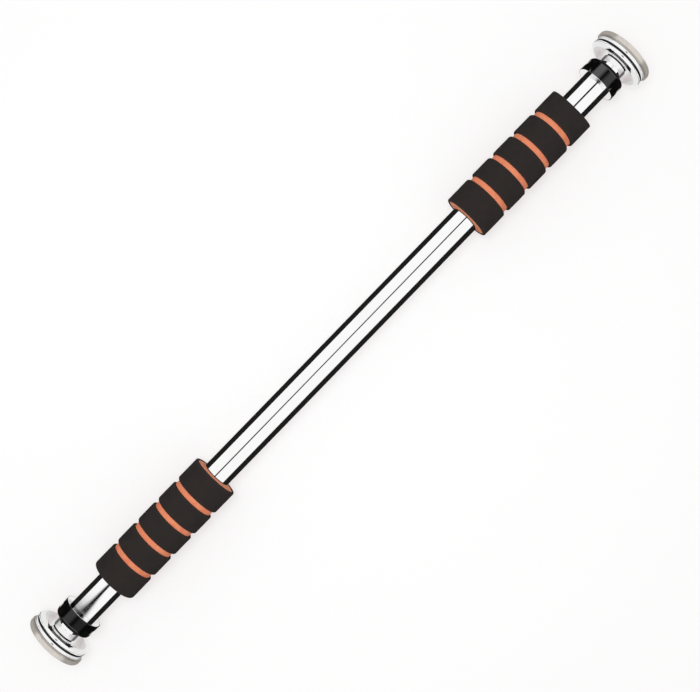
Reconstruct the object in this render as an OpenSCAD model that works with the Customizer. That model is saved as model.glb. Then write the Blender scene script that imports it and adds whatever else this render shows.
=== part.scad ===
// Doorway pull up bar: a chrome tube that turns on two lead screws and drives a padded foot
// out of each end. The bar's axis is X, its middle is the origin, +Z is up. Millimetres.
// It is drawn closed, with both feet screwed all the way in.

/* [Outer tube] */
// Outside diameter of the outer tube
tube_d = 28; // [25:0.5:32]
// Wall of the outer tube
tube_wall = 1; // [0.8:0.1:1.6]
// Length of the outer tube
tube_len = 704; // [620:1:900]

/* [Inner tubes] */
// Wall of an inner tube
inner_wall = 1.2; // [1:0.1:1.8]
// How far each foot can be screwed out
travel = 130; // [60:1:180]
// Length of inner tube that stays inside when a foot is right out
overlap = 85; // [70:1:120]
// Bare inner tube that shows between collar and foot when closed
neck_len = 8.4; // [4:0.1:20]

/* [Lead screws] */
// Diameter of the lead screw
screw_d = 12; // [10:0.5:14]
// Diameter of the screw's turned-down root, held in the anchor
screw_root_d = 9; // [6:0.5:9.5]
// Diameter of the screw's turned-down tip, which carries the stop
screw_tip_d = 7; // [5:0.5:9]
// Length of the anchor block that holds the screw in the outer tube
anchor_len = 24; // [18:1:36]
// Diameter of the spring pin that locks the screw in its anchor
pin_d = 4; // [3:0.5:5]
// How far the pin's ends lie below the anchor's surface
pin_sink = 0.5; // [0.2:0.1:2]
// Length of the stop at the end of the screw
stop_len = 6; // [4:0.5:10]
// Width of the rim between the screw and the stop's outside
stop_rim = 3.5; // [2:0.5:4]

/* [Screw nuts] */
// Thickness of the nut's flange
nut_flange = 3; // [2:0.5:6]
// Length of the nut that is pressed into the inner tube
nut_seat = 18; // [12:1:30]
// Width of the glide ring that runs on the nut
ring_len = 6.8; // [5:0.1:10]

/* [Collars] */
// Thickness of the collar round the outer tube
collar_wall = 6; // [3:0.5:8]
// Length of tube that the collar covers
collar_cover = 9.8; // [6:0.1:20]
// Length of the collar past the tube's end
collar_lip = 6; // [4:0.1:10]
// How much the collar's radius tapers towards its shoulder
collar_taper = 0.3; // [0:0.1:1.4]
// How far the collar's rounded shoulder reaches back from its end
shoulder_len = 3.7; // [1:0.1:5]
// How far that shoulder drops towards the neck
shoulder_drop = 2.5; // [1:0.1:4]
// Rounding of the collar's edge towards the bar's middle
collar_edge = 0.2; // [0.1:0.1:1.5]
// Thickness of the bright ring that is let into the collar's inner face
trim_t = 0.8; // [0.5:0.1:3]
// Width of the collar's rim round that ring
trim_rim = 0.4; // [0.3:0.1:1.5]

/* [Grips] */
// Distance from the tube's end to the grip
grip_inset = 45; // [30:1:90]
// Thickness of the inner foam sleeve
core_wall = 7.4; // [5:0.1:12]
// Thickness of the outer foam bands
band_wall = 2.4; // [1.6:0.1:5]
// Number of outer bands
band_count = 5; // [3:1:5]
// Length of the first band, nearest the bar's middle
first_band_len = 26; // [18:0.2:36]
// Length of each band between the first and the last
band_len = 22.2; // [16:0.2:32]
// Length of the last band, nearest the foot
last_band_len = 24.4; // [18:0.2:36]
// Width of the groove between two bands
groove_w = 5.2; // [3:0.1:8]
// Rounding of a band's edge towards the bar's middle
band_round_in = 1; // [0.4:0.1:1.6]
// Rounding of a band's edge towards the foot
band_round_out = 1.8; // [0.4:0.1:2.3]
// Rounding of the last band's edge towards the foot
band_end_round = 2.2; // [0.4:0.1:2.3]

/* [Foot cups] */
// Diameter of the foot cup over its beads
cup_d = 57.8; // [50:0.2:70]
// Wall of the cup's rim
cup_wall = 2; // [1.2:0.1:3]
// Thickness of the cup's floor
cup_floor = 2; // [1.5:0.1:3]
// How far the cup's face is dished
dish_depth = 2.6; // [0.5:0.1:4]
// Diameter of the round beads on the cup's rim
bead_d = 4.4; // [3:0.1:4.8]
// How far a bead stands out from the cup's rim
bead_proud = 1.8; // [0.8:0.1:2]
// Distance between the two beads
bead_pitch = 5.2; // [4.8:0.1:7]
// Radius of the cup's rounded front, below the first bead
front_round = 5.6; // [3:0.1:7]
// Where that front meets the first bead, as an angle round the bead from its top
front_turn = 50; // [30:1:60]
// Plain rim between the second bead and the pad
rim_lip = 0.7; // [0.3:0.1:3]
// Width of the hub ring round the neck
hub_w = 2; // [1.2:0.1:6]
// Height of the hub ring over the cup's face
hub_h = 1.5; // [1.4:0.1:4]
// Length of the hub ring's sloping front
hub_slope = 1; // [0.4:0.1:1.3]
// Thickness of the weld where that slope meets the neck
weld_h = 0.3; // [0.1:0.1:0.8]

/* [Pads] */
// Diameter of the pad over its ribs
pad_d = 60; // [54:0.2:76]
// Thickness of the pad's rim
pad_t = 4.8; // [4:0.1:8]
// Thickness of the plain lip at the pad's face
lip_t = 1.6; // [0.8:0.1:2]
// Rounding of that lip's edge
lip_round = 0.9; // [0.4:0.1:1.5]
// Number of ribs round the pad's rim
rib_count = 72; // [36:1:90]
// Depth of the flutes between the ribs
flute_depth = 0.6; // [0.3:0.1:1]
// Number of tread grooves on the pad's face
tread_count = 4; // [1:1:5]
// Distance between two tread grooves
tread_pitch = 4; // [3:0.1:4]
// Width of a tread groove
tread_w = 1.4; // [0.8:0.1:2]
// Depth of a tread groove
tread_depth = 1; // [0.5:0.1:2]
// Diameter of the recess for the washer and screw
recess_d = 19; // [14:0.5:20]
// Depth of that recess
recess_depth = 5; // [4.8:0.1:6]

/* [Pad fixings] */
// Length of the plug in the inner tube's outer end
plug_len = 25; // [15:1:40]
// Diameter of the pad screw
bolt_d = 6; // [5:0.5:8]
// Length of the pad screw under its head
bolt_len = 25; // [18:1:32]
// Diameter of the pad screw's head
bolt_head_d = 10; // [9:0.5:12]
// Height of the pad screw's head
bolt_head_h = 3.2; // [2:0.1:3.2]
// Width across the flats of its hexagon socket
socket_w = 4; // [3:0.5:5]
// Depth of the socket
socket_depth = 2; // [1:0.1:2.4]
// Thickness of the washer under the head
washer_t = 1.2; // [0.8:0.1:1.4]

/* [Clearances] */
// Radial gap between inner tube and outer tube
slide_gap = 0.3; // [0.2:0.05:0.5]
// Radial gap of the glide ring on its journal and in the tube
running_gap = 0.05; // [0.02:0.01:0.1]
// Radial gap of pieces that are pressed or glued together
snug_gap = 0.05; // [0.02:0.01:0.1]
// Gap left between two pieces at the end of the travel
stop_gap = 0.5; // [0.3:0.1:1]
// Radial gap of the pad in its cup
pad_gap = 0.1; // [0.05:0.05:0.3]

/* [Hidden] */
$fn = 96;

// Which end of the bar a piece belongs to
LEFT = -1;
RIGHT = 1;

// Overshoot of a cutting shape past the face that it cuts
cut = 1;
// Facets of the collar's shoulder
shoulder_steps = 10;
// Facets of the cup's rounded front, and the angle where the dish runs into it
front_steps = 11;
dish_turn = 105;

// Radii, from the outer tube inwards
tube_r = tube_d / 2;
bore_r = tube_r - tube_wall;
inner_r = bore_r - slide_gap;
inner_bore_r = inner_r - inner_wall;
plug_r = inner_bore_r - snug_gap;
anchor_r = bore_r - snug_gap;
screw_r = screw_d / 2;

// Places along X, from the middle outwards, with the feet screwed in
tube_end = tube_len / 2;
inner_start = tube_end - overlap - travel;
ring_side_gap = running_gap * 2;
nut_journal = ring_len + 2 * ring_side_gap;
nut_start = inner_start - nut_journal - nut_flange;
nut_end = inner_start + nut_seat;
anchor_end = nut_start - stop_gap;
anchor_start = anchor_end - anchor_len;
stop_start = nut_end + travel + stop_gap;
stop_end = stop_start + stop_len;
band_step = band_len + groove_w;
grip_len = first_band_len + (band_count - 2) * band_step + groove_w + last_band_len;
grip_end = tube_end - grip_inset;
grip_start = grip_end - grip_len;
collar_start = tube_end - collar_cover;
collar_end = tube_end + collar_lip;
trim_end = collar_start + trim_t;
foot_start = collar_end + neck_len;
dish_x = foot_start + dish_depth;
floor_back = dish_x + cup_floor;
front_excess = front_round - bead_d / 2;
bead_1_x = foot_start + front_round - front_excess * sin(front_turn);
bead_2_x = bead_1_x + bead_pitch;
pad_start = bead_2_x + bead_d / 2 + rim_lip;
pad_face = pad_start + pad_t;
recess_floor = pad_face - recess_depth;
head_seat = recess_floor + washer_t;

// Foot and grip radii
cup_r = cup_d / 2;
rim_r = cup_r - bead_proud;
cavity_r = rim_r - cup_wall;
front_r = cup_r - bead_d / 2 - front_excess * cos(front_turn);
hub_r = inner_r + hub_w;
core_r = tube_r + core_wall;
band_r = core_r + band_wall;
collar_r = tube_r + collar_wall;
trim_r = collar_r - trim_rim;
lip_r = pad_d / 2 - flute_depth;

// Turns a shape drawn along +Z so that it lies along +X
module along_x() rotate([0, 90, 0]) children();

// Puts a shape drawn for the right end at either end of the bar
module at_end(side) mirror([side == LEFT ? 1 : 0, 0, 0]) children();

// Revolves a half section, drawn as radius across and place along the bar upwards, round X
module revolved() along_x() rotate_extrude() children();

// Half section of a plain ring
module section(r_in, r_out, x_from, x_to)
    translate([r_in, x_from]) square([r_out - r_in, x_to - x_from]);

// What a rounding takes off a corner at radius r and place x; dir points out along the bar
module corner_cut(r, x, round_r, dir)
    translate([r - round_r, x - dir * round_r])
        mirror([0, dir < 0 ? 1 : 0])
            difference() {
                square(round_r + cut);
                circle(round_r);
            }

// Half section of a ring whose outer edges are rounded, by one radius towards the bar's
// middle and another towards its end
module rounded_section(r_in, r_out, x_from, x_to, round_in, round_out)
    difference() {
        section(r_in, r_out, x_from, x_to);
        if (round_in > 0) corner_cut(r_out, x_from, round_in, -1);
        if (round_out > 0) corner_cut(r_out, x_to, round_out, 1);
    }

module ring(r_in, r_out, x_from, x_to) revolved() section(r_in, r_out, x_from, x_to);

module rod(r, x_from, x_to) translate([x_from, 0, 0]) along_x() cylinder(r = r, h = x_to - x_from);

module outer_tube()
    color("gainsboro") ring(bore_r, tube_r, -tube_end, tube_end);

// Plastic cap over the tube's end; its lip guides the inner tube
module collar(side)
    color([0.07, 0.07, 0.07]) at_end(side)
        difference() {
            revolved() collar_section();
            rod(tube_r + snug_gap, collar_start - cut, tube_end);
            rod(trim_r + snug_gap, collar_start - cut, trim_end);
        }

// The collar tapers up to its shoulder, which is a quarter of an ellipse
module collar_section() {
    bore = inner_r + slide_gap;
    top = collar_r - collar_taper;
    difference() {
        polygon([
            [bore, collar_end],
            [bore, collar_start],
            [collar_r, collar_start],
            for (turn = [0 : 90 / shoulder_steps : 90])
                [top - shoulder_drop * (1 - cos(turn)), collar_end - shoulder_len * (1 - sin(turn))]
        ]);
        corner_cut(collar_r, collar_start, collar_edge, -1);
    }
}

// Bright ring on the tube, let into the collar's face
module collar_trim(side)
    color("gainsboro") at_end(side)
        ring(tube_r + snug_gap, trim_r, collar_start, trim_end);

// Inner foam sleeve, which shows in the grooves and at the grip's ends
module grip_core(side)
    color([0.94, 0.45, 0.25]) at_end(side)
        ring(tube_r + snug_gap, core_r, grip_start, grip_end);

// One of the outer foam bands, counted from the bar's middle
module grip_band(side, number)
    color([0.14, 0.11, 0.11]) at_end(side) {
        first = number == 1;
        last = number == band_count;
        band_start = first ? grip_start
                           : grip_start + first_band_len + groove_w + (number - 2) * band_step;
        own_len = first ? first_band_len : last ? last_band_len : band_len;
        if (number <= band_count)
            revolved() rounded_section(core_r + snug_gap, band_r, band_start, band_start + own_len,
                                       band_round_in, last ? band_end_round : band_round_out);
    }

// Steel block pressed into the outer tube, cross drilled for its spring pin
module anchor(side)
    color("slategray") at_end(side)
        difference() {
            rod(anchor_r, anchor_start, anchor_end);
            rod(screw_root_d / 2 + snug_gap, anchor_start - cut, anchor_end + cut);
            pin_hole();
        }

module pin_hole()
    translate([(anchor_start + anchor_end) / 2, 0, 0])
        cylinder(r = pin_d / 2 + snug_gap, h = 2 * tube_d, center = true);

module anchor_pin(side)
    color("dimgray") at_end(side)
        translate([(anchor_start + anchor_end) / 2, 0, 0])
            cylinder(d = pin_d, h = 2 * (anchor_r - pin_sink), center = true);

// Lead screw: root in the anchor, threaded length, and a turned tip for the stop
module lead_screw(side)
    color("silver") at_end(side)
        difference() {
            union() {
                rod(screw_root_d / 2, anchor_start, anchor_end);
                rod(screw_r, anchor_end, stop_start);
                rod(screw_tip_d / 2, stop_start, stop_end);
            }
            pin_hole();
        }

module screw_stop(side)
    color("dimgray") at_end(side)
        ring(screw_tip_d / 2 + snug_gap, screw_r + stop_rim, stop_start, stop_end);

// Nut in the inner end of the inner tube: flange, journal for the glide ring, pressed seat
module nut(side)
    color("steelblue") at_end(side)
        difference() {
            union() {
                rod(inner_r, nut_start, nut_start + nut_flange);
                rod(plug_r, nut_start + nut_flange, nut_end);
            }
            rod(screw_r + running_gap, nut_start - cut, nut_end + cut);
        }

// Nylon ring that turns on the nut's journal and slides along the outer tube's bore
module glide_ring(side)
    color("ivory") at_end(side)
        ring(plug_r + running_gap, bore_r - running_gap,
             inner_start - ring_side_gap - ring_len, inner_start - ring_side_gap);

module inner_tube(side)
    color("gainsboro") at_end(side)
        ring(inner_bore_r, inner_r, inner_start, floor_back);

module end_plug(side)
    color("slategray") at_end(side)
        difference() {
            rod(plug_r, floor_back - plug_len, floor_back);
            rod(bolt_d / 2 + snug_gap, floor_back - plug_len - cut, floor_back + cut);
        }

// Pressed cup, welded to the inner tube: dished floor, hub ring, and a rim with two beads
module foot_cup(side)
    color("whitesmoke") at_end(side)
        revolved()
            difference() {
                union() {
                    cup_floor_section();
                    section(cavity_r, rim_r, bead_1_x, pad_start);
                    bead(bead_1_x);
                    bead(bead_2_x);
                    hub_section();
                }
                section(0, cavity_r, floor_back, pad_start + cut);
                section(0, inner_r + snug_gap, foot_start - 2 * tube_d, pad_start + cut);
            }

module bead(x) translate([cup_r - bead_d / 2, x]) circle(d = bead_d);

// The floor rises from the hub to the cup's rounded front, which runs on into the first bead
module cup_floor_section()
    polygon([
        [inner_r, dish_x],
        [hub_r, dish_x],
        for (i = [0 : front_steps])
            let (turn = dish_turn + (front_turn - dish_turn) * i / front_steps)
                [front_r + front_round * cos(turn), foot_start + front_round * (1 - sin(turn))],
        [rim_r, bead_1_x],
        [rim_r, floor_back],
        [inner_r, floor_back]
    ]);

// Hub ring, welded to the neck: its front slopes up from the weld to its plain rim
module hub_section() {
    hub_x = dish_x - hub_h;
    polygon([
        [inner_r, hub_x],
        [inner_r + weld_h, hub_x],
        [hub_r, hub_x + hub_slope],
        [hub_r, dish_x + cut],
        [inner_r, dish_x + cut]
    ]);
}

// Soft pad: ribbed rim, rounded lip, spigot in the cup, ring treads and a recess for its screw
module pad(side)
    color([0.82, 0.82, 0.8]) at_end(side)
        difference() {
            union() {
                translate([pad_start, 0, 0]) along_x() linear_extrude(pad_t - lip_t) ribbed_disc();
                revolved() rounded_section(0, lip_r, pad_face - lip_t, pad_face, 0, lip_round);
                rod(cavity_r - pad_gap, floor_back, pad_start);
            }
            rod(recess_d / 2, recess_floor, pad_face + cut);
            rod(bolt_d / 2 + slide_gap, floor_back - cut, recess_floor + cut);
            treads();
        }

module ribbed_disc()
    difference() {
        circle(d = pad_d);
        for (i = [0 : rib_count - 1])
            rotate(i * 360 / rib_count)
                translate([pad_d / 2, 0])
                    circle(flute_depth, $fn = 16);
    }

module treads()
    for (i = [1 : tread_count])
        ring((recess_d + tread_w) / 2 + (i - 0.5) * tread_pitch - tread_w / 2,
             (recess_d + tread_w) / 2 + (i - 0.5) * tread_pitch + tread_w / 2,
             pad_face - tread_depth, pad_face + cut);

module pad_washer(side)
    color("silver") at_end(side)
        ring(bolt_d / 2 + slide_gap, recess_d / 2 - slide_gap, recess_floor, head_seat);

module pad_screw(side)
    color("silver") at_end(side)
        difference() {
            union() {
                rod(bolt_d / 2, head_seat - bolt_len, head_seat);
                rod(bolt_head_d / 2, head_seat, head_seat + bolt_head_h);
            }
            translate([head_seat + bolt_head_h - socket_depth, 0, 0])
                along_x() cylinder(r = socket_w / sqrt(3), h = socket_depth + cut, $fn = 6);
        }

outer_tube();
collar(LEFT);  // left_collar
collar(RIGHT);  // right_collar
collar_trim(LEFT);  // left_collar_trim
collar_trim(RIGHT);  // right_collar_trim
grip_core(LEFT);  // left_grip_core
grip_core(RIGHT);  // right_grip_core
grip_band(LEFT, 1);  // left_grip_band_1
grip_band(LEFT, 2);  // left_grip_band_2
grip_band(LEFT, 3);  // left_grip_band_3
grip_band(LEFT, 4);  // left_grip_band_4
grip_band(LEFT, 5);  // left_grip_band_5
grip_band(RIGHT, 1);  // right_grip_band_1
grip_band(RIGHT, 2);  // right_grip_band_2
grip_band(RIGHT, 3);  // right_grip_band_3
grip_band(RIGHT, 4);  // right_grip_band_4
grip_band(RIGHT, 5);  // right_grip_band_5
anchor(LEFT);  // left_anchor
anchor(RIGHT);  // right_anchor
anchor_pin(LEFT);  // left_anchor_pin
anchor_pin(RIGHT);  // right_anchor_pin
lead_screw(LEFT);  // left_lead_screw
lead_screw(RIGHT);  // right_lead_screw
screw_stop(LEFT);  // left_screw_stop
screw_stop(RIGHT);  // right_screw_stop
nut(LEFT);  // left_nut
nut(RIGHT);  // right_nut
glide_ring(LEFT);  // left_glide_ring
glide_ring(RIGHT);  // right_glide_ring
inner_tube(LEFT);  // left_inner_tube
inner_tube(RIGHT);  // right_inner_tube
end_plug(LEFT);  // left_end_plug
end_plug(RIGHT);  // right_end_plug
foot_cup(LEFT);  // left_foot_cup
foot_cup(RIGHT);  // right_foot_cup
pad(LEFT);  // left_pad
pad(RIGHT);  // right_pad
pad_washer(LEFT);  // left_pad_washer
pad_washer(RIGHT);  // right_pad_washer
pad_screw(LEFT);  // left_pad_screw
pad_screw(RIGHT);  // right_pad_screw
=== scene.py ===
import math

import bmesh
import bpy
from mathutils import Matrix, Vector, noise


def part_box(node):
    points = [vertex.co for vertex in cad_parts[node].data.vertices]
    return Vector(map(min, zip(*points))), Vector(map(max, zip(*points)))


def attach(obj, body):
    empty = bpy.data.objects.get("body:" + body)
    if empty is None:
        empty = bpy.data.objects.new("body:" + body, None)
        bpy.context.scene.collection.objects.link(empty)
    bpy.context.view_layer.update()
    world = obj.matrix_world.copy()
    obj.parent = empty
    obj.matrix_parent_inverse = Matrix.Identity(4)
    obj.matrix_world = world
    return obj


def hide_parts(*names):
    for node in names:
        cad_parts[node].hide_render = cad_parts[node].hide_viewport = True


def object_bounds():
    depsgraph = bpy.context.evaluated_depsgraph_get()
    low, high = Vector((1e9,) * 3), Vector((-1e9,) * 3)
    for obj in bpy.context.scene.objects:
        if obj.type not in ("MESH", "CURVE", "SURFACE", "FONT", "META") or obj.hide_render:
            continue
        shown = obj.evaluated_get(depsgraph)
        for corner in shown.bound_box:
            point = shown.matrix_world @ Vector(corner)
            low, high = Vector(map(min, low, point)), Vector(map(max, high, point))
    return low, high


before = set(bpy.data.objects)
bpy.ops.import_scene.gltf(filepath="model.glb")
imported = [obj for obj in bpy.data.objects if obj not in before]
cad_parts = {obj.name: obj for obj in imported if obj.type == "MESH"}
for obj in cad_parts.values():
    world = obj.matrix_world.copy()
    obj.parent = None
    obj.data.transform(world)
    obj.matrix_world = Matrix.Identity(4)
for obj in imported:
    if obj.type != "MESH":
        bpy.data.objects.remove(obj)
cad_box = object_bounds()

# The bar's axis is X, its middle is the origin and +Z is up. Everything here is in metres.
MM = 0.001
SIDES = {"left": -1, "right": 1}

# Camera: it looks straight down at the bar, whose right end points to the upper right
CAMERA_HEIGHT = 1.0925
CAMERA_TURN = math.radians(-45.85)
CAMERA_ASIDE = 9.65 * MM
CAMERA_UP = 1.86 * MM
LENS = 60.27
SENSOR = 36.0

# Floor: its colours where it is seen, and the plain one that lights the bar from below
FLOOR_HALF = 12.0
FLOOR_SHADED = (0.40, 0.46, 0.465, 1)
FLOOR_GLOW = (0.62, 0.56, 0.555, 1)
FLOOR_PLAIN = (0.6, 0.6, 0.6, 1)

# Tent: its sizes are parts of a unit direction, and its levels go from 0 (black) to 1 (white).
# A narrow dark gap runs over the bar; at the left end a dark wedge widens on both sides of it.
TENT_DIFFUSE = 0.62
TENT_EDGE = 0.002
GAP_MIDDLE = 0.071
GAP_WIDENING = 0.42
GAP_SOFT = (0.8, 1.2)
GAP_REACH = 0.309
WEDGE_START = 0.262
WEDGE_RISE = 0.02
WEDGE_TURN = 0.2882
WEDGE_REACH = 0.3095
FRONT_FLARE = (0.07, 0.165, 0.44)
FRONT_SOFT = (0.6, 1.4)
BACK_FLARE = (0.10, 0.30, 0.26)
BACK_SOFT = (0.4, 1.65)
HAZE_START = 0.2957
HAZE_FULL = 0.3075
HAZE_LEVEL = 0.32

# Folds of the tent over the collars: from, to, level in front and level behind
RIGHT_FOLD = (0.336, 0.364, 0.5, 1.0)
LEFT_FOLD = (0.348, 0.376, 0.17, 0.42)
FOLD_MIDDLE = (0.03, 0.36)
FOLD_OUTER = (0.83, 0.75)
FOLD_LEAST = 0.02

# Key lamp
KEY_POWER = 7.5
KEY_SIZE = 0.62
KEY_AT = (-0.02, 0.12, 1.3)

# Sheets that only mirrors see: black flags beside the tube, white cards between the flags and
# the feet, and black fences and end walls beyond the feet
FLAG_BLACK = (0.013, 0.0125, 0.0125, 1)
FLAG_GAP_FRONT = 20 * MM
FLAG_GAP_BACK = 25 * MM
FLAG_END_GAP_Y = 45 * MM
FLAG_END = 0.350
FLAG_REACH = 0.371
FLAG_FADE = 5 * MM
FLAG_SLANT = 0.31
FLAG_OUT_Y = 0.6
FLAG_TOP = 0.078
FLAG_LIFT = 0.4 * MM
CARD_X = 0.355
CARD_FROM_Y = 17 * MM
CARD_TO_Y = 0.35
CARD_TOP = 0.024
CARD_WHITE = 0.85
CARD_BACK = 0.03
FENCE_Y = 0.18
FENCE_FROM_X = 0.405
FENCE_END_X = 0.430
FENCE_TOP = 0.1
WALL_X = 0.56
WALL_TOP = 0.079


# ---------------------------------------------------------------- node helpers

class Nodes:
    """A short way to write a node tree: each method adds one node and returns its output."""

    def __init__(self, tree):
        self.tree = tree
        tree.nodes.clear()

    def add(self, kind, inputs=(), **settings):
        node = self.tree.nodes.new(kind)
        for key, value in settings.items():
            setattr(node, key, value)
        for key, value in dict(inputs).items():
            if isinstance(value, bpy.types.NodeSocket):
                self.tree.links.new(value, node.inputs[key])
            else:
                node.inputs[key].default_value = value
        return node

    def place(self, stretch=(1, 1, 1)):
        """The point's place on its own object, in metres, with each axis scaled."""
        point = self.add("ShaderNodeTexCoord").outputs["Object"]
        return self.add("ShaderNodeVectorMath", {0: point, 1: stretch},
                        operation="MULTIPLY").outputs[0]

    def noise(self, size, detail=2.0, stretch=(1, 1, 1), roughness=0.5):
        """Noise from 0 to 1 whose blotches are about size metres across."""
        return self.add("ShaderNodeTexNoise", {
            "Vector": self.place(stretch), "Scale": 1 / size, "Detail": detail,
            "Roughness": roughness}).outputs["Fac"]

    def cells(self, size):
        """Distance from the middle of round cells that are about size metres across."""
        return self.add("ShaderNodeTexVoronoi", {
            "Vector": self.place(), "Scale": 1 / size}).outputs["Distance"]

    def ramp(self, value, low, high, to_low=0.0, to_high=1.0):
        return self.add("ShaderNodeMapRange", {
            "Value": value, "From Min": low, "From Max": high,
            "To Min": to_low, "To Max": to_high}).outputs["Result"]

    def mix(self, factor, a, b):
        node = self.add("ShaderNodeMix", data_type="RGBA")
        for index, value in ((0, factor), (6, a), (7, b)):
            if isinstance(value, bpy.types.NodeSocket):
                self.tree.links.new(value, node.inputs[index])
            else:
                node.inputs[index].default_value = value
        return node.outputs[2]

    def blend(self, factor, a, b):
        """The number a where factor is 0, and b where it is 1."""
        return self.add("ShaderNodeMix", {0: factor, 2: a, 3: b}, data_type="FLOAT").outputs[0]

    def maths(self, operation, a, b=0.0):
        return self.add("ShaderNodeMath", {0: a, 1: b}, operation=operation).outputs[0]

    def bump(self, height, distance, strength=1.0):
        return self.add("ShaderNodeBump", {
            "Height": height, "Distance": distance, "Strength": strength}).outputs["Normal"]

    def attribute(self, name):
        return self.add("ShaderNodeAttribute", attribute_name=name).outputs["Fac"]


def grey(value, tint=(1.0, 1.0, 1.0)):
    return (value * tint[0], value * tint[1], value * tint[2], 1.0)


def surface(name, build):
    """A material with one Principled surface; build(nodes) returns the surface's inputs."""
    material = bpy.data.materials.new(name)
    material.use_nodes = True
    nodes = Nodes(material.node_tree)
    shader = nodes.add("ShaderNodeBsdfPrincipled", build(nodes))
    nodes.add("ShaderNodeOutputMaterial", {"Surface": shader.outputs[0]})
    return material


# ---------------------------------------------------------------- materials

# Painted shade on the chrome: the share of colour left where the reflection is drawn dimmer, and
# the darkest level
PAINTED_DIM_SHARE = 0.74
PAINTED_DARK_LEVEL = 0.03
# Where the collars' shoulders lose their gloss coat: a painted dark reflection
PAINTED_DARK_SHOULDER = 354.6 * MM
PAINTED_DARK_SHOULDER_FADE = 0.7 * MM
# Where painted shade darkens the pads' sides, and how ragged its edge is
PAD_LIT_Y = 15 * MM
PAD_SHADED_Y = 18.5 * MM
PAD_RAGGED = 1.5 * MM


def chrome(name, colour, grain):
    """Bright chrome: faint smears, fine polishing rings round the axis and a few hairlines;
    darkened where two point attributes say so, with painted dimmer reflections and painted shade."""
    def build(n):
        film = n.noise(18 * MM, 3.0)
        rings = n.noise(grain, 2.0, (1, 0.04, 0.04))
        hairs = n.ramp(n.noise(0.35 * MM, 2.0, (0.03, 1, 1)), 0.69, 0.74)
        rough = n.maths("ADD", n.ramp(film, 0.35, 0.7, 0.035, 0.06),
                        n.maths("MULTIPLY", hairs, 0.03))
        height = n.maths("ADD", rings, n.maths("MULTIPLY", hairs, -0.5))
        clean = n.mix(n.ramp(film, 0.3, 0.75), grey(colour, (1, 1, 1.005)),
                      grey(colour * 0.975, (1, 0.997, 0.992)))
        # painted dimmer reflection, where the piece's attribute asks for it
        painted_dim_colour = n.mix(n.attribute("painted_dim"), clean,
                       grey(colour * PAINTED_DIM_SHARE, (1, 0.975, 0.985)))
        return {
            # painted shade and painted dark reflections, where the piece's other attribute asks for
            # it
            "Base Color": n.mix(n.attribute("recess"), painted_dim_colour, grey(PAINTED_DARK_LEVEL)),
            "Metallic": 1.0, "Roughness": rough,
            "Normal": n.bump(height, 0.0012 * MM, 0.35)}
    return surface(name, build)


def foam(name, dark, light, pore):
    """Closed-cell foam: skinned pores, mottling, and paler, rubbed edges."""
    def build(n):
        mottle = n.noise(7 * MM, 4.0)
        cells = n.cells(pore)
        grit = n.noise(0.35 * MM, 3.0)
        rubbed = n.maths("MULTIPLY", n.attribute("edge"), n.ramp(n.noise(3 * MM, 3.0), 0.3, 0.7))
        base = n.mix(n.ramp(mottle, 0.3, 0.7), dark, light)
        pits = n.ramp(cells, 0.0, 0.22)
        worn = tuple(min(1.0, c * 1.5 + 0.01) for c in light[:3]) + (1.0,)
        height = n.maths("ADD", n.maths("MULTIPLY", pits, 0.7), n.maths("MULTIPLY", grit, 0.5))
        return {
            "Base Color": n.mix(n.maths("MULTIPLY", rubbed, 0.5), base, worn),
            "Roughness": n.ramp(mottle, 0.3, 0.7, 0.82, 0.95),
            "Specular IOR Level": 0.35,
            "Normal": n.bump(height, 0.12 * MM, 0.6)}
    return surface(name, build)


def collar_plastic():
    """Glossy moulded plastic: a slight orange peel, dust and a few scuffs; the shoulder at the foot
    side has no gloss coat, a painted dark reflection that stands for the dark that it mirrors."""
    def build(n):
        peel = n.bump(n.noise(1.6 * MM, 1.0), 0.002 * MM, 0.4)
        dust = n.ramp(n.cells(0.9 * MM), 0.06, 0.03)
        scuffs = n.ramp(n.noise(1.2 * MM, 4.0, (0.15, 1, 1)), 0.62, 0.72)
        at = n.add("ShaderNodeSeparateXYZ", {0: n.place()}).outputs
        # no coat on the shoulder: painted dark reflection
        coat_but_painted_shoulder = n.ramp(n.maths("ABSOLUTE", at["X"]), PAINTED_DARK_SHOULDER + PAINTED_DARK_SHOULDER_FADE, PAINTED_DARK_SHOULDER)
        return {
            "Base Color": n.mix(n.maths("MULTIPLY", dust, 0.25), grey(0.002), grey(0.03)),
            "Roughness": n.maths("ADD", n.ramp(n.noise(9 * MM, 3.0), 0.3, 0.7, 0.03, 0.06),
                                 n.maths("MULTIPLY", scuffs, 0.06)),
            "Specular IOR Level": 0.12,
            "Coat Weight": coat_but_painted_shoulder,
            "Coat IOR": 1.8,
            "Normal": peel, "Coat Normal": peel}
    return surface("gloss_black_plastic", build)


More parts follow.
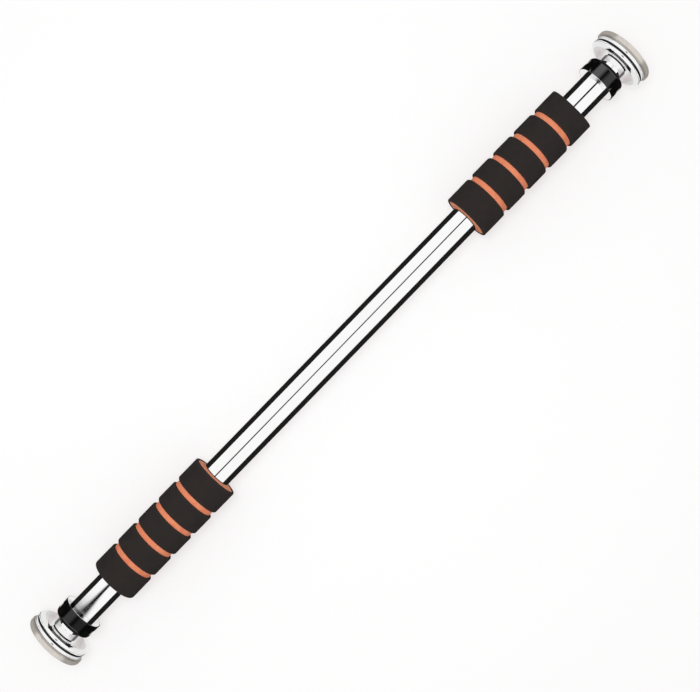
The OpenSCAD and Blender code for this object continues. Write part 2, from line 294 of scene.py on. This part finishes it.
def pad_rubber():
    """Pale, slightly clouded rubber with a fine moulded skin, and painted shade on the sides."""
    def build(n):
        cloud = n.noise(6 * MM, 4.0)
        marks = n.ramp(n.noise(2.2 * MM, 5.0), 0.56, 0.72)
        base = n.mix(n.ramp(cloud, 0.3, 0.7), (0.68, 0.633, 0.588, 1), (0.765, 0.712, 0.662, 1))
        at = n.add("ShaderNodeSeparateXYZ", {0: n.place()}).outputs
        edge = n.maths("ADD", n.maths("ABSOLUTE", at["Y"]),
                       n.ramp(cloud, 0.2, 0.8, -PAD_RAGGED, PAD_RAGGED))
        # painted shade on the pad's sides
        side_shade = n.ramp(edge, PAD_LIT_Y, PAD_SHADED_Y)
        side_shaded = n.mix(n.maths("MULTIPLY", side_shade, 0.9), base, (0.40, 0.365, 0.33, 1))
        height = n.maths("ADD", n.noise(0.5 * MM, 3.0), n.maths("MULTIPLY", cloud, 0.4))
        return {
            "Base Color": n.mix(n.maths("MULTIPLY", marks, 0.25), side_shaded, (0.5, 0.47, 0.43, 1)),
            "Roughness": n.ramp(cloud, 0.3, 0.7, 0.42, 0.58),
            "Normal": n.bump(height, 0.05 * MM, 0.5)}
    return surface("pale_rubber", build)


def turned_steel(name, colour, tint, rough):
    """Machined steel: turning lines round the axis and faint oil stains."""
    def build(n):
        lines = n.noise(0.25 * MM, 3.0, (1, 0.05, 0.05))
        stain = n.noise(8 * MM, 4.0)
        return {
            "Base Color": n.mix(n.ramp(stain, 0.35, 0.7), grey(colour, tint),
                                grey(colour * 0.72, tint)),
            "Metallic": 1.0,
            "Roughness": n.ramp(stain, 0.3, 0.7, rough, rough + 0.14),
            "Normal": n.bump(lines, 0.01 * MM, 0.5)}
    return surface(name, build)


def nylon():
    """Off-white nylon: cloudy with patches of grey grease, and machining lines."""
    def build(n):
        cloud = n.noise(5 * MM, 4.0)
        lines = n.noise(0.3 * MM, 2.0, (1, 0.05, 0.05))
        return {
            "Base Color": n.mix(n.ramp(cloud, 0.35, 0.75), (0.8, 0.79, 0.74, 1),
                                (0.62, 0.6, 0.54, 1)),
            "Roughness": n.ramp(cloud, 0.3, 0.7, 0.38, 0.55),
            "Normal": n.bump(lines, 0.015 * MM, 0.5)}
    return surface("nylon", build)


# ---------------------------------------------------------------- shapes

def rounded(corners, steps=7):
    """The closed outline through corners (x, r, fillet), with an arc at each filleted one."""
    outline = []
    for i, (x, r, fillet) in enumerate(corners):
        here = Vector((x, r))
        if not fillet:
            outline.append(here)
            continue
        back = (Vector(corners[i - 1][:2]) - here).normalized()
        ahead = (Vector(corners[(i + 1) % len(corners)][:2]) - here).normalized()
        half = back.angle(ahead) / 2
        centre = here + (back + ahead).normalized() * (fillet / math.sin(half))
        start = here + back * (fillet / math.tan(half)) - centre
        sweep = -start.angle_signed(here + ahead * (fillet / math.tan(half)) - centre)
        for k in range(steps + 1):
            turn = sweep * k / steps
            outline.append(centre + Vector((
                start.x * math.cos(turn) - start.y * math.sin(turn),
                start.x * math.sin(turn) + start.y * math.cos(turn))))
    return outline


def split_long(outline, longest, support=0.15 * MM):
    """The outline with its long straight stretches cut up, and with support points close to
    their ends, so that a rounded corner doesn't bend the shading of the stretch beside it."""
    points = []
    for i, here in enumerate(outline):
        ahead = outline[(i + 1) % len(outline)]
        length = (ahead - here).length
        points.append(here)
        if length > 4 * support:
            count = max(1, math.ceil(length / longest))
            cuts = [k / count for k in range(1, count)]
            cuts = [support / length] + cuts + [1 - support / length]
            points += [here.lerp(ahead, cut) for cut in cuts]
    return points


def turned(name, outline, side, segments=160, sharp=math.radians(32)):
    """A ring-shaped solid: the outline of (x, r) points turned round the bar's axis."""
    mesh_data = bpy.data.meshes.new(name)
    bm = bmesh.new()
    rings = []
    for point in outline:
        rings.append([bm.verts.new((side * point.x,
                                    point.y * math.cos(2 * math.pi * k / segments),
                                    point.y * math.sin(2 * math.pi * k / segments)))
                      for k in range(segments)])
    for i, ring in enumerate(rings):
        ahead = rings[(i + 1) % len(rings)]
        for k in range(segments):
            nxt = (k + 1) % segments
            bm.faces.new((ring[k], ring[nxt], ahead[nxt], ahead[k]))
    bmesh.ops.recalc_face_normals(bm, faces=bm.faces)
    bm.normal_update()
    for face in bm.faces:
        face.smooth = True
    for edge in bm.edges:
        edge.smooth = edge.calc_face_angle(0.0) < sharp
    bm.to_mesh(mesh_data)
    bm.free()
    piece = bpy.data.objects.new(name, mesh_data)
    bpy.context.scene.collection.objects.link(piece)
    return piece


def finish_piece(piece, material, slot, body, *nodes):
    """Gives a made piece its material, rides it on its body and hides its solids; its slot is not
    used.
    """
    piece.data.materials.clear()
    piece.data.materials.append(material)
    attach(piece, body)
    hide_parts(*nodes)


def span(node):
    """How far along the bar a node reaches, from the middle outwards, and its outer radius."""
    low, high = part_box(node)
    ends = sorted((abs(low[0]), abs(high[0])))
    return ends[0], ends[1], (high[1] - low[1]) / 2


# ---------------------------------------------------------------- camera and studio

def make_camera():
    camera = bpy.data.objects.new("camera", bpy.data.cameras.new("camera"))
    bpy.context.scene.collection.objects.link(camera)
    camera.data.lens = LENS
    camera.data.sensor_width = SENSOR
    right = Vector((math.cos(CAMERA_TURN), math.sin(CAMERA_TURN), 0))
    up = Vector((-math.sin(CAMERA_TURN), math.cos(CAMERA_TURN), 0))
    camera.location = right * CAMERA_ASIDE + up * CAMERA_UP + Vector((0, 0, CAMERA_HEIGHT))
    camera.rotation_euler = (0, 0, CAMERA_TURN)
    bpy.context.scene.camera = camera


def sheet_mesh(name, corners, faces):
    """A flat staged sheet from its corners."""
    mesh_data = bpy.data.meshes.new(name)
    mesh_data.from_pydata(corners, [], faces)
    sheet = bpy.data.objects.new(name, mesh_data)
    bpy.context.scene.collection.objects.link(sheet)
    return sheet


def make_floor(level):
    """A pale floor: what the camera and mirrors see is near white, with the bar's own shadow."""
    half = FLOOR_HALF
    floor = sheet_mesh("floor", [(-half, -half, level), (half, -half, level),
                                 (half, half, level), (-half, half, level)], [(0, 1, 2, 3)])
    material = bpy.data.materials.new("pale_floor")
    material.use_nodes = True
    n = Nodes(material.node_tree)
    path = n.add("ShaderNodeLightPath").outputs
    seen = n.maths("MAXIMUM", path["Is Camera Ray"],
                   n.maths("MAXIMUM", path["Is Glossy Ray"], path["Is Transmission Ray"]))
    shaded = n.add("ShaderNodeBsdfDiffuse", {"Color": FLOOR_SHADED})
    glow = n.add("ShaderNodeEmission", {"Color": FLOOR_GLOW, "Strength": 1.0})
    both = n.add("ShaderNodeAddShader", {0: shaded.outputs[0], 1: glow.outputs[0]})
    plain = n.add("ShaderNodeBsdfDiffuse", {"Color": FLOOR_PLAIN})
    mixed = n.add("ShaderNodeMixShader", {0: seen, 1: plain.outputs[0], 2: both.outputs[0]})
    n.add("ShaderNodeOutputMaterial", {"Surface": mixed.outputs[0]})
    floor.data.materials.append(material)


def flag_material():
    """Black cloth: the tube's flags fade out at their slanting ends and open beside the feet."""
    material = bpy.data.materials.new("black_flag")
    material.use_nodes = True
    n = Nodes(material.node_tree)
    at = n.add("ShaderNodeSeparateXYZ", {0: n.add("ShaderNodeTexCoord").outputs["Object"]}).outputs
    along = n.maths("SUBTRACT", n.maths("ABSOLUTE", at["X"]),
                    n.maths("MULTIPLY", n.maths("ABSOLUTE", at["Y"]), FLAG_SLANT))
    beside_foot = n.maths("MULTIPLY", n.maths("GREATER_THAN", along, FLAG_END),
                          n.maths("LESS_THAN", n.maths("ABSOLUTE", at["Y"]), FLAG_END_GAP_Y))
    past_end = n.maths("MAXIMUM", beside_foot, n.ramp(along, FLAG_REACH, FLAG_REACH + FLAG_FADE))
    clear = n.maths("MULTIPLY", past_end,
                    n.maths("LESS_THAN", n.maths("ABSOLUTE", at["X"]), FENCE_FROM_X - MM))
    shade = n.add("ShaderNodeEmission", {"Color": FLAG_BLACK})
    nothing = n.add("ShaderNodeBsdfTransparent")
    mixed = n.add("ShaderNodeMixShader", {0: clear, 1: shade.outputs[0], 2: nothing.outputs[0]})
    n.add("ShaderNodeOutputMaterial", {"Surface": mixed.outputs[0]})
    return material


def make_flags(level):
    """Black flags along the tube on the floor, two fences beside each foot and a wall beyond it."""
    level += FLAG_LIFT
    flat_end = FLAG_REACH + FLAG_FADE
    corners = []
    faces = []

    def sheet(*points):
        faces.append(tuple(range(len(corners), len(corners) + len(points))))
        corners.extend(points)

    for way, gap in ((-1, FLAG_GAP_FRONT), (1, FLAG_GAP_BACK)):
        inner_x = flat_end + FLAG_SLANT * gap
        outer_x = flat_end + FLAG_SLANT * FLAG_OUT_Y
        inner_y, outer_y = way * gap, way * FLAG_OUT_Y
        sheet((-inner_x, inner_y, level), (inner_x, inner_y, level),
              (outer_x, outer_y, level), (-outer_x, outer_y, level))
        sheet((-outer_x, outer_y, level), (outer_x, outer_y, level),
              (outer_x, outer_y, FLAG_TOP), (-outer_x, outer_y, FLAG_TOP))
        for side in (-1, 1):
            near, far, y = side * FENCE_FROM_X, side * FENCE_END_X, way * FENCE_Y
            sheet((near, y, level), (far, y, level), (far, y, FENCE_TOP), (near, y, FENCE_TOP))
    for side in (-1, 1):
        far = side * WALL_X
        sheet((far, -FENCE_Y, level), (far, FENCE_Y, level),
              (far, FENCE_Y, WALL_TOP), (far, -FENCE_Y, WALL_TOP))
    flags = sheet_mesh("flags", corners, faces)
    flags.data.materials.append(flag_material())
    hide_from_all_but_mirrors(flags)


def hide_from_all_but_mirrors(sheet):
    """Leaves a sheet to glossy rays alone."""
    for ray in ("camera", "diffuse", "transmission", "volume_scatter", "shadow"):
        setattr(sheet, "visible_" + ray, False)


def make_cards(level):
    """White cards between flags and feet, black behind, so that the feet's chrome stays bright."""
    corners = []
    faces = []
    for side in (-1, 1):
        for way in (-1, 1):
            near = (side * (CARD_X + FLAG_SLANT * CARD_FROM_Y), way * CARD_FROM_Y)
            far = (side * (CARD_X + FLAG_SLANT * CARD_TO_Y), way * CARD_TO_Y)
            first = len(corners)
            corners += [(*near, level), (*far, level), (*far, CARD_TOP), (*near, CARD_TOP)]
            order = (0, 1, 2, 3) if side * way > 0 else (3, 2, 1, 0)
            faces.append(tuple(first + k for k in order))
    cards = sheet_mesh("cards", corners, faces)
    material = bpy.data.materials.new("white_card")
    material.use_nodes = True
    n = Nodes(material.node_tree)
    back = n.add("ShaderNodeNewGeometry").outputs["Backfacing"]
    shade = n.mix(back, grey(CARD_WHITE), grey(CARD_BACK))
    glow = n.add("ShaderNodeEmission", {"Color": shade})
    n.add("ShaderNodeOutputMaterial", {"Surface": glow.outputs[0]})
    cards.data.materials.append(material)
    hide_from_all_but_mirrors(cards)


def make_tent():
    """A white tent; its two halves leave a narrow dark gap over the bar, wider at the left end.
    Where the collars' tops look, it is folded into a strip that is darker, mostly at the left."""
    world = bpy.data.worlds.new("tent")
    bpy.context.scene.world = world
    world.use_nodes = True
    n = Nodes(world.node_tree)
    way = n.add("ShaderNodeTexCoord").outputs["Generated"]
    at = n.add("ShaderNodeSeparateXYZ", {0: way}).outputs
    across = n.maths("ABSOLUTE", at["Y"])
    reach = n.maths("ABSOLUTE", at["X"])
    left = n.maths("MULTIPLY", at["X"], -1.0)
    behind = n.maths("GREATER_THAN", at["Y"], 0.0)

    half = n.maths("ADD", GAP_MIDDLE,
                   n.maths("MULTIPLY", n.maths("MULTIPLY", reach, reach), GAP_WIDENING))

    def beyond(width, soft):
        """From 0 over the bar to 1 beyond a dark strip that is about width wide."""
        return n.ramp(across, n.maths("MULTIPLY", width, soft[0]),
                      n.maths("MULTIPLY", width, soft[1]))

    def flare(turn, widths):
        """The wedge's width: from widths[0] to widths[1] at the turn, then by widths[2] more."""
        return n.maths("ADD", n.ramp(left, WEDGE_START, turn, widths[0], widths[1]),
                       n.ramp(left, turn, WEDGE_REACH, 0.0, widths[2]))

    def fold(along, start, end, front, back):
        """The strip from start to end: 1 outside it, and front or back in it, but dark over the
        bar and towards the floor."""
        level = n.maths("MULTIPLY", n.blend(behind, front, back), n.ramp(across, *FOLD_OUTER))
        level = n.maths("MULTIPLY", level, n.ramp(across, *FOLD_MIDDLE))
        level = n.maths("MAXIMUM", level, FOLD_LEAST)
        outside = n.maths("MAXIMUM", n.ramp(along, start + TENT_EDGE, start),
                          n.ramp(along, end - TENT_EDGE, end))
        return n.maths("MAXIMUM", level, outside)

    gap = beyond(half, GAP_SOFT)
    gap = n.maths("MAXIMUM", gap, n.ramp(reach, GAP_REACH - 2 * TENT_EDGE, GAP_REACH + TENT_EDGE))
    front_wedge = beyond(flare(WEDGE_TURN, FRONT_FLARE), FRONT_SOFT)
    back_wedge = beyond(flare(HAZE_START, BACK_FLARE), BACK_SOFT)
    haze = n.ramp(left, HAZE_START, HAZE_FULL, 1.0, HAZE_LEVEL)
    wedge = n.blend(behind, front_wedge, n.maths("MULTIPLY", back_wedge, haze))
    wedge = n.maths("MAXIMUM", wedge, n.ramp(left, WEDGE_START + WEDGE_RISE, WEDGE_START))
    wedge = n.maths("MAXIMUM", wedge, n.ramp(left, WEDGE_REACH, WEDGE_REACH + TENT_EDGE))
    lit = n.maths("MULTIPLY", gap, wedge)
    lit = n.maths("MULTIPLY", lit, fold(at["X"], *RIGHT_FOLD))
    lit = n.maths("MULTIPLY", lit, fold(left, *LEFT_FOLD))
    path = n.add("ShaderNodeLightPath").outputs
    mirrored = n.maths("MAXIMUM", path["Is Glossy Ray"], path["Is Transmission Ray"])
    tent = n.maths("MULTIPLY", lit, n.blend(mirrored, TENT_DIFFUSE, 1.0))
    strength = n.maths("MAXIMUM", tent, path["Is Camera Ray"])
    glow = n.add("ShaderNodeBackground", {"Color": (1, 1, 1, 1), "Strength": strength})
    n.add("ShaderNodeOutputWorld", {"Surface": glow.outputs[0]})


def make_key_lamp():
    """A round soft lamp almost straight above, for the narrow shadow close to the bar."""
    lamp = bpy.data.objects.new("key_lamp", bpy.data.lights.new("key_lamp", "AREA"))
    bpy.context.scene.collection.objects.link(lamp)
    lamp.data.shape = "DISK"
    lamp.data.energy = KEY_POWER
    lamp.data.size = KEY_SIZE
    lamp.location = KEY_AT
    lamp.rotation_euler = (-Vector(KEY_AT)).to_track_quat("-Z", "Y").to_euler()
    lamp.visible_glossy = False
    lamp.visible_camera = False


# ---------------------------------------------------------------- pieces

TUBE_SEGMENTS = 224
SNUG = 0.05 * MM

# Tubes
TUBE_WALL = 1.0 * MM
NECK_WALL = 1.2 * MM
TUBE_EDGE = 0.3 * MM
BORE_EDGE = 0.2 * MM
TUBE_STRETCH = 44 * MM

# Painted shade and painted dark reflections on the chrome, where its surroundings don't mirror dark
# enough: at the left collar, on the neck's sides, in the cups' grooves and on the dishes' sides.
# All of it is looks only, painted into the colour.
WEDGE_PAINT_FROM = 340.3 * MM
WEDGE_PAINT_FADE = 0.3 * MM
WEDGE_PAINT_RADIUS = 18.9 * MM
WEDGE_PAINT_RIM = 0.1 * MM
NECK_PAINTED_DARK = 0.9
NECK_PAINT_X = (356.0 * MM, 357.0 * MM)
NECK_PAINT_Y = (9.4 * MM, 10.8 * MM)
GROOVE_UNSHADED = 0.5 * MM
GROOVE_SHADE_FADE = 0.5 * MM
RIM_SHADE = 0.05
DISH_UNDIMMED = 3.6 * MM
DISH_DIM_FADE = 1.5 * MM
DISH_DIM_Y = (13 * MM, 17 * MM)

# Foot cups: hub ring, dish, rounded front (its turns are in degrees), beads and rim
HUB_HEIGHT = 1.5 * MM
HUB_RING = 2.0 * MM
HUB_SLOPE = 1.0 * MM
DISH_DEPTH = 2.6 * MM
DISH_TURN = 105
FRONT_TURN = 50
FRONT_ROUND = 5.6 * MM
BEAD_ROUND = 2.2 * MM
BEAD_PITCH = 5.2 * MM
BEAD_PROUD = 1.8 * MM
RIM_LIP = 0.7 * MM
CUP_WALL = 2 * MM

# Collars
COLLAR_PLAY = 0.3 * MM
COLLAR_TAPER = 0.3 * MM
SHOULDER_LENGTH = 3.7 * MM
SHOULDER_DROP = 2.5 * MM
SHOULDER_STEPS = 16


def store_painted_dark(piece, level):
    """Stores how far painted shade darkens each point of a chrome piece; level(place) gives it, 0
    to 1.
    """
    recess = piece.data.attributes.new("recess", "FLOAT", "POINT")
    for i, vertex in enumerate(piece.data.vertices):
        recess.data[i].value = level(vertex.co)


def fade(value, low, high):
    """From 0 at low to 1 at high."""
    return min(1.0, max(0.0, (value - low) / (high - low)))


def painted_wedge_end(place):
    """Paints a dark reflection onto the top of the tube, right at the left collar, and onto its
    bright ring. It stands for the end of the tent's dark wedge, which the ring's own reflection
    would break off."""
    if place.x > -WEDGE_PAINT_FROM or math.hypot(place.y, place.z) > WEDGE_PAINT_RADIUS:
        return 0.0
    turn = math.degrees(math.atan2(place.y, place.z))  # from straight up towards the back
    if turn < 0:
        return fade(turn, -20, -8)
    return 0.9 - 0.3 * fade(turn, 8, 30) - 0.6 * fade(turn, 60, 90)


def painted_neck_reflection(place):
    """Paints dark reflections onto the sides of the neck near the foot. They stand for the dark
    lines of the tube's flags, which the neck doesn't mirror there, because the cup and the card
    are in the way."""
    return NECK_PAINTED_DARK * fade(abs(place.y), *NECK_PAINT_Y) * fade(abs(place.x), *NECK_PAINT_X)


def make_tubes(material):
    """The chrome tubes, turned finely enough for clean reflections."""
    radius = span("outer_tube")[2]
    tube_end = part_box("outer_tube")[1][0]
    bore = radius - TUBE_WALL
    outline = rounded([(-tube_end, radius, TUBE_EDGE), (-WEDGE_PAINT_FROM, radius, 0),
                       (WEDGE_PAINT_FADE - WEDGE_PAINT_FROM, radius, 0), (tube_end, radius, TUBE_EDGE),
                       (tube_end, bore, BORE_EDGE), (-tube_end, bore, BORE_EDGE)], 3)
    tube = turned("chrome_outer_tube", split_long(outline, TUBE_STRETCH), 1, TUBE_SEGMENTS)
    # painted dark reflection on the tube beside the left collar
    store_painted_dark(tube, painted_wedge_end)
    finish_piece(tube, material, "chrome_tube", "bar", "outer_tube")
    for name, side in SIDES.items():
        start, end, radius = span(f"{name}_inner_tube")
        bore = radius - NECK_WALL
        outline = rounded([(start, radius, TUBE_EDGE), (NECK_PAINT_X[0], radius, 0),
                           (NECK_PAINT_X[1], radius, 0), (end, radius, BORE_EDGE),
                           (end, bore, BORE_EDGE), (start, bore, BORE_EDGE)], 3)
        tube = turned(f"{name}_chrome_inner_tube", split_long(outline, TUBE_STRETCH), side,
                      TUBE_SEGMENTS)
        # painted dark reflections on the neck's sides
        store_painted_dark(tube, painted_neck_reflection)
        finish_piece(tube, material, "chrome_tube", f"{name}_foot", f"{name}_inner_tube")


def arc(centre_x, centre_r, radius, first, last, steps):
    """Corners along an arc; its angles are in degrees, from the outward radial to the foot."""
    corners = []
    for k in range(steps + 1):
        turn = math.radians(first + (last - first) * k / steps)
        corners.append((centre_x + radius * math.sin(turn), centre_r + radius * math.cos(turn), 0))
    return corners


def mark_recess(cup, crest, first, second):
    """Stores painted shade for the points that lie deep in the groove between the beads or behind
    the second one, and a painted dimmer reflection for the points on the sides of the dish."""
    recess = cup.data.attributes.new("recess", "FLOAT", "POINT")
    painted_dim = cup.data.attributes.new("painted_dim", "FLOAT", "POINT")
    for i, vertex in enumerate(cup.data.vertices):
        depth = crest - math.hypot(vertex.co.y, vertex.co.z)
        beside = fade(abs(vertex.co.y), *DISH_DIM_Y)
        painted_dim.data[i].value = beside * fade(depth, DISH_UNDIMMED, DISH_UNDIMMED + DISH_DIM_FADE)
        groove_shade = fade(depth, GROOVE_UNSHADED, GROOVE_UNSHADED + GROOVE_SHADE_FADE)
        if abs(vertex.co.x) > second:
            recess.data[i].value = groove_shade * RIM_SHADE
        elif abs(vertex.co.x) > first:
            recess.data[i].value = groove_shade


def make_cups(material):
    """The pressed foot cups: a sloping hub ring, a dished face that runs over a rounded front
    into the first bead, a second bead, and the plain rim."""
    for name, side in SIDES.items():
        end, radius = span(f"{name}_foot_cup")[1:]
        neck = span(f"{name}_inner_tube")[2]
        hub = neck + HUB_RING
        rim = radius - BEAD_PROUD
        centre = radius - BEAD_ROUND
        second = end - RIM_LIP - BEAD_ROUND
        first = second - BEAD_PITCH
        lean = math.radians(FRONT_TURN)
        front_x = first + (FRONT_ROUND - BEAD_ROUND) * math.sin(lean)
        front_r = centre - (FRONT_ROUND - BEAD_ROUND) * math.cos(lean)
        dish = front_x - FRONT_ROUND + DISH_DEPTH
        hub_start = dish - HUB_HEIGHT
        foot = math.degrees(math.acos((rim - centre) / BEAD_ROUND))
        corners = [(hub_start, neck, 0), (hub_start, neck + 0.3 * MM, 0.1 * MM),
                   (hub_start + HUB_SLOPE, hub, 0.3 * MM), (dish, hub, 0.2 * MM)]
        corners += arc(front_x, front_r, FRONT_ROUND, -DISH_TURN, -FRONT_TURN, 16)
        corners += arc(first, centre, BEAD_ROUND, -FRONT_TURN, foot, 24)[1:]
        corners += arc(second, centre, BEAD_ROUND, -foot, foot, 20)
        corners += [(end, rim, 0.08 * MM), (end, rim - CUP_WALL, 0.1 * MM),
                    (dish + CUP_WALL, rim - CUP_WALL, 0.1 * MM), (dish + CUP_WALL, neck, 0)]
        outline = split_long(rounded(corners, 5), 8 * MM, 0.08 * MM)
        cup = turned(f"{name}_chrome_cup", outline, side, TUBE_SEGMENTS)
        # painted shade in the grooves and painted dimmer reflections on the dish's sides
        mark_recess(cup, radius, first, second)
        finish_piece(cup, material, "chrome_cup", f"{name}_foot", f"{name}_foot_cup")


def make_collars(plastic):
    """The glossy end collars: a slight taper, then a shoulder that is a quarter of an ellipse."""
    for name, side in SIDES.items():
        start, end, radius = span(f"{name}_collar")
        trim_end, trim_radius = span(f"{name}_collar_trim")[1:]
        tube_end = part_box("outer_tube")[1][0]
        tube = span("outer_tube")[2] + SNUG
        bore = span(f"{name}_inner_tube")[2] + COLLAR_PLAY
        pocket = trim_radius + SNUG
        top = radius - COLLAR_TAPER
        corners = [(start, pocket, 0), (start, radius, 0.12 * MM)]
        for k in range(SHOULDER_STEPS + 1):
            turn = math.pi / 2 * k / SHOULDER_STEPS
            corners.append((end - SHOULDER_LENGTH * (1 - math.sin(turn)),
                            top - SHOULDER_DROP * (1 - math.cos(turn)), 0))
        corners += [(end, bore, 0.3 * MM), (tube_end, bore, 0), (tube_end, tube, 0),
                    (trim_end, tube, 0), (trim_end, pocket, 0)]
        outline = split_long(rounded(corners, 5), 8 * MM, 0.08 * MM)
        collar = turned(f"{name}_black_collar", outline, side, TUBE_SEGMENTS)
        finish_piece(collar, plastic, "collar_plastic", "bar", f"{name}_collar")


def make_collar_rings(material):
    """The bright rings let into the collars' inner faces."""
    for name, side in SIDES.items():
        start, end, radius = span(f"{name}_collar_trim")
        bore = span("outer_tube")[2] + SNUG
        outline = rounded([(start, bore, 0), (start, WEDGE_PAINT_RADIUS, 0),
                           (start, WEDGE_PAINT_RADIUS + WEDGE_PAINT_RIM, 0), (start, radius, 0.1 * MM),
                           (end, radius, 0), (end, bore, 0)], 4)
        ring = turned(f"{name}_bright_ring", outline, side, TUBE_SEGMENTS)
        # painted dark reflection on the left ring
        store_painted_dark(ring, painted_wedge_end)
        finish_piece(ring, material, "chrome_tube", "bar", f"{name}_collar_trim")


def uneven(piece, amount, blotch, seed):
    """Moves a soft piece's points in and out a little, as foam is never quite round."""
    for vertex in piece.data.vertices:
        radial = Vector((0, vertex.co.y, vertex.co.z)).normalized()
        wave = noise.noise(vertex.co / blotch + Vector((seed, 0, 0)))
        vertex.co += radial * (wave * amount)


def mark_edges(piece, places, reach):
    """Stores how near each point is to a worn edge at one of the places along the bar."""
    edge = piece.data.attributes.new("edge", "FLOAT", "POINT")
    for i, vertex in enumerate(piece.data.vertices):
        gap = min(abs(abs(vertex.co.x) - place) for place in places)
        edge.data[i].value = max(0.0, 1 - gap / reach)


# Where each grip sits on the tube (foam slides a little), how much longer its first and last
# bands are than their share, and how the last band's end is rounded and leans
GRIP_PLACE = {"left": (165.9 * MM, 301.0 * MM), "right": (169.8 * MM, 310.1 * MM)}
FIRST_BAND_MORE = {"left": 0.0, "right": 0.9 * MM}
LAST_BAND_MORE = {"left": 1.1 * MM, "right": 1.1 * MM}
END_FILLET = {"left": 2.3 * MM, "right": 1.6 * MM}
END_LEAN = {"left": 0.0, "right": 0.17}
LEAN_LENGTH = 9 * MM
SLEEVE_SET_BACK = 0.5 * MM
END_LIP = 1.4 * MM
BANDS = 5
BAND_FILLET = (1.3 * MM, 2.0 * MM)
UNEVENNESS = 0.12 * MM


def lean_end(piece, end, slope):
    """Leans the foot-side end of a foam piece, as if it had been cut a little askew."""
    for vertex in piece.data.vertices:
        near = fade(abs(vertex.co.x), end - LEAN_LENGTH, end)
        vertex.co.x -= math.copysign(near * slope * vertex.co.z, vertex.co.x)


def make_grips(black, orange):
    """Two-layer foam grips: the orange sleeve shows in the grooves between the black bands, and
    the last band closes over its end."""
    for name, side in SIDES.items():
        start, end, radius = span(f"{name}_grip_core")
        drawn_start, drawn_end = GRIP_PLACE[name]

        def drawn(x):
            return drawn_start + (x - start) * (drawn_end - drawn_start) / (end - start)

        bore = span("outer_tube")[2] + SNUG
        first = drawn(start) - FIRST_BAND_MORE[name] + SLEEVE_SET_BACK
        last = drawn(end) + LAST_BAND_MORE[name]
        sleeve_end = last - END_LIP - END_LEAN[name] * radius
        outline = rounded([(first, bore, 0.4 * MM), (first, radius, 0.8 * MM),
                           (sleeve_end, radius, 0.3 * MM), (sleeve_end, bore, 0.3 * MM)], 4)
        sleeve = turned(f"{name}_foam_sleeve", split_long(outline, 1.5 * MM), side)
        uneven(sleeve, UNEVENNESS, 9 * MM, 3.0 + side)
        mark_edges(sleeve, (first,), 1.5 * MM)
        finish_piece(sleeve, orange, "foam_orange", "bar", f"{name}_grip_core")
        for number in range(1, BANDS + 1):
            node = f"{name}_grip_band_{number}"
            band_start, band_end, band_radius = span(node)
            low = drawn(band_start) - (FIRST_BAND_MORE[name] if number == 1 else 0)
            inner = radius + SNUG
            corners = [(low, inner, 0), (low, band_radius, BAND_FILLET[0])]
            if number == BANDS:
                high = last
                corners += [(high, band_radius, END_FILLET[name]), (high, bore, 0.6 * MM),
                            (sleeve_end + SNUG, bore, 0), (sleeve_end + SNUG, inner, 0)]
            else:
                high = drawn(band_end)
                corners += [(high, band_radius, BAND_FILLET[1]), (high, inner, 0)]
            outline = split_long(rounded(corners, 8), 1.2 * MM)
            band = turned(f"{name}_foam_band_{number}", outline, side)
            uneven(band, UNEVENNESS, 11 * MM, 7.0 * number + side)
            mark_edges(band, (low, high), 2.2 * MM)
            if number == BANDS and END_LEAN[name]:
                lean_end(band, high, END_LEAN[name])
            finish_piece(band, black, "foam_black", "bar", node)


def dress_solids(materials):
    """Gives every solid that stays in view its own material."""
    for name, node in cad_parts.items():
        base = name.split("_", 1)[1]
        if base in materials:
            node.data.materials.clear()
            node.data.materials.append(materials[base])


floor_level = cad_box[0][2]
make_camera()
make_floor(floor_level)
make_flags(floor_level)
make_cards(floor_level)
make_tent()
make_key_lamp()

chrome_tube = chrome("chrome_tube", 0.96, 0.22 * MM)
chrome_cup = chrome("chrome_cup", 0.96, 0.16 * MM)
black_foam = foam("black_foam", (0.0155, 0.0120, 0.0108, 1), (0.0245, 0.0190, 0.0172, 1), 0.8 * MM)
orange_foam = foam("orange_foam", (0.85, 0.243, 0.120, 1), (0.94, 0.326, 0.177, 1), 0.8 * MM)
plain_steel = turned_steel("plain_steel", 0.42, (1, 1, 1.02), 0.3)
zinc_steel = turned_steel("zinc_steel", 0.62, (1, 1.01, 1.05), 0.26)
white_nylon = nylon()

make_tubes(chrome_tube)
make_cups(chrome_cup)
make_collars(collar_plastic())
make_collar_rings(chrome_tube)
make_grips(black_foam, orange_foam)
dress_solids({
    "pad": pad_rubber(),
    "glide_ring": white_nylon, "nut": white_nylon, "anchor": plain_steel,
    "anchor_pin": plain_steel, "screw_stop": plain_steel, "end_plug": plain_steel,
    "lead_screw": zinc_steel, "pad_washer": zinc_steel, "pad_screw": zinc_steel})

bpy.context.scene.view_settings.view_transform = "Standard"
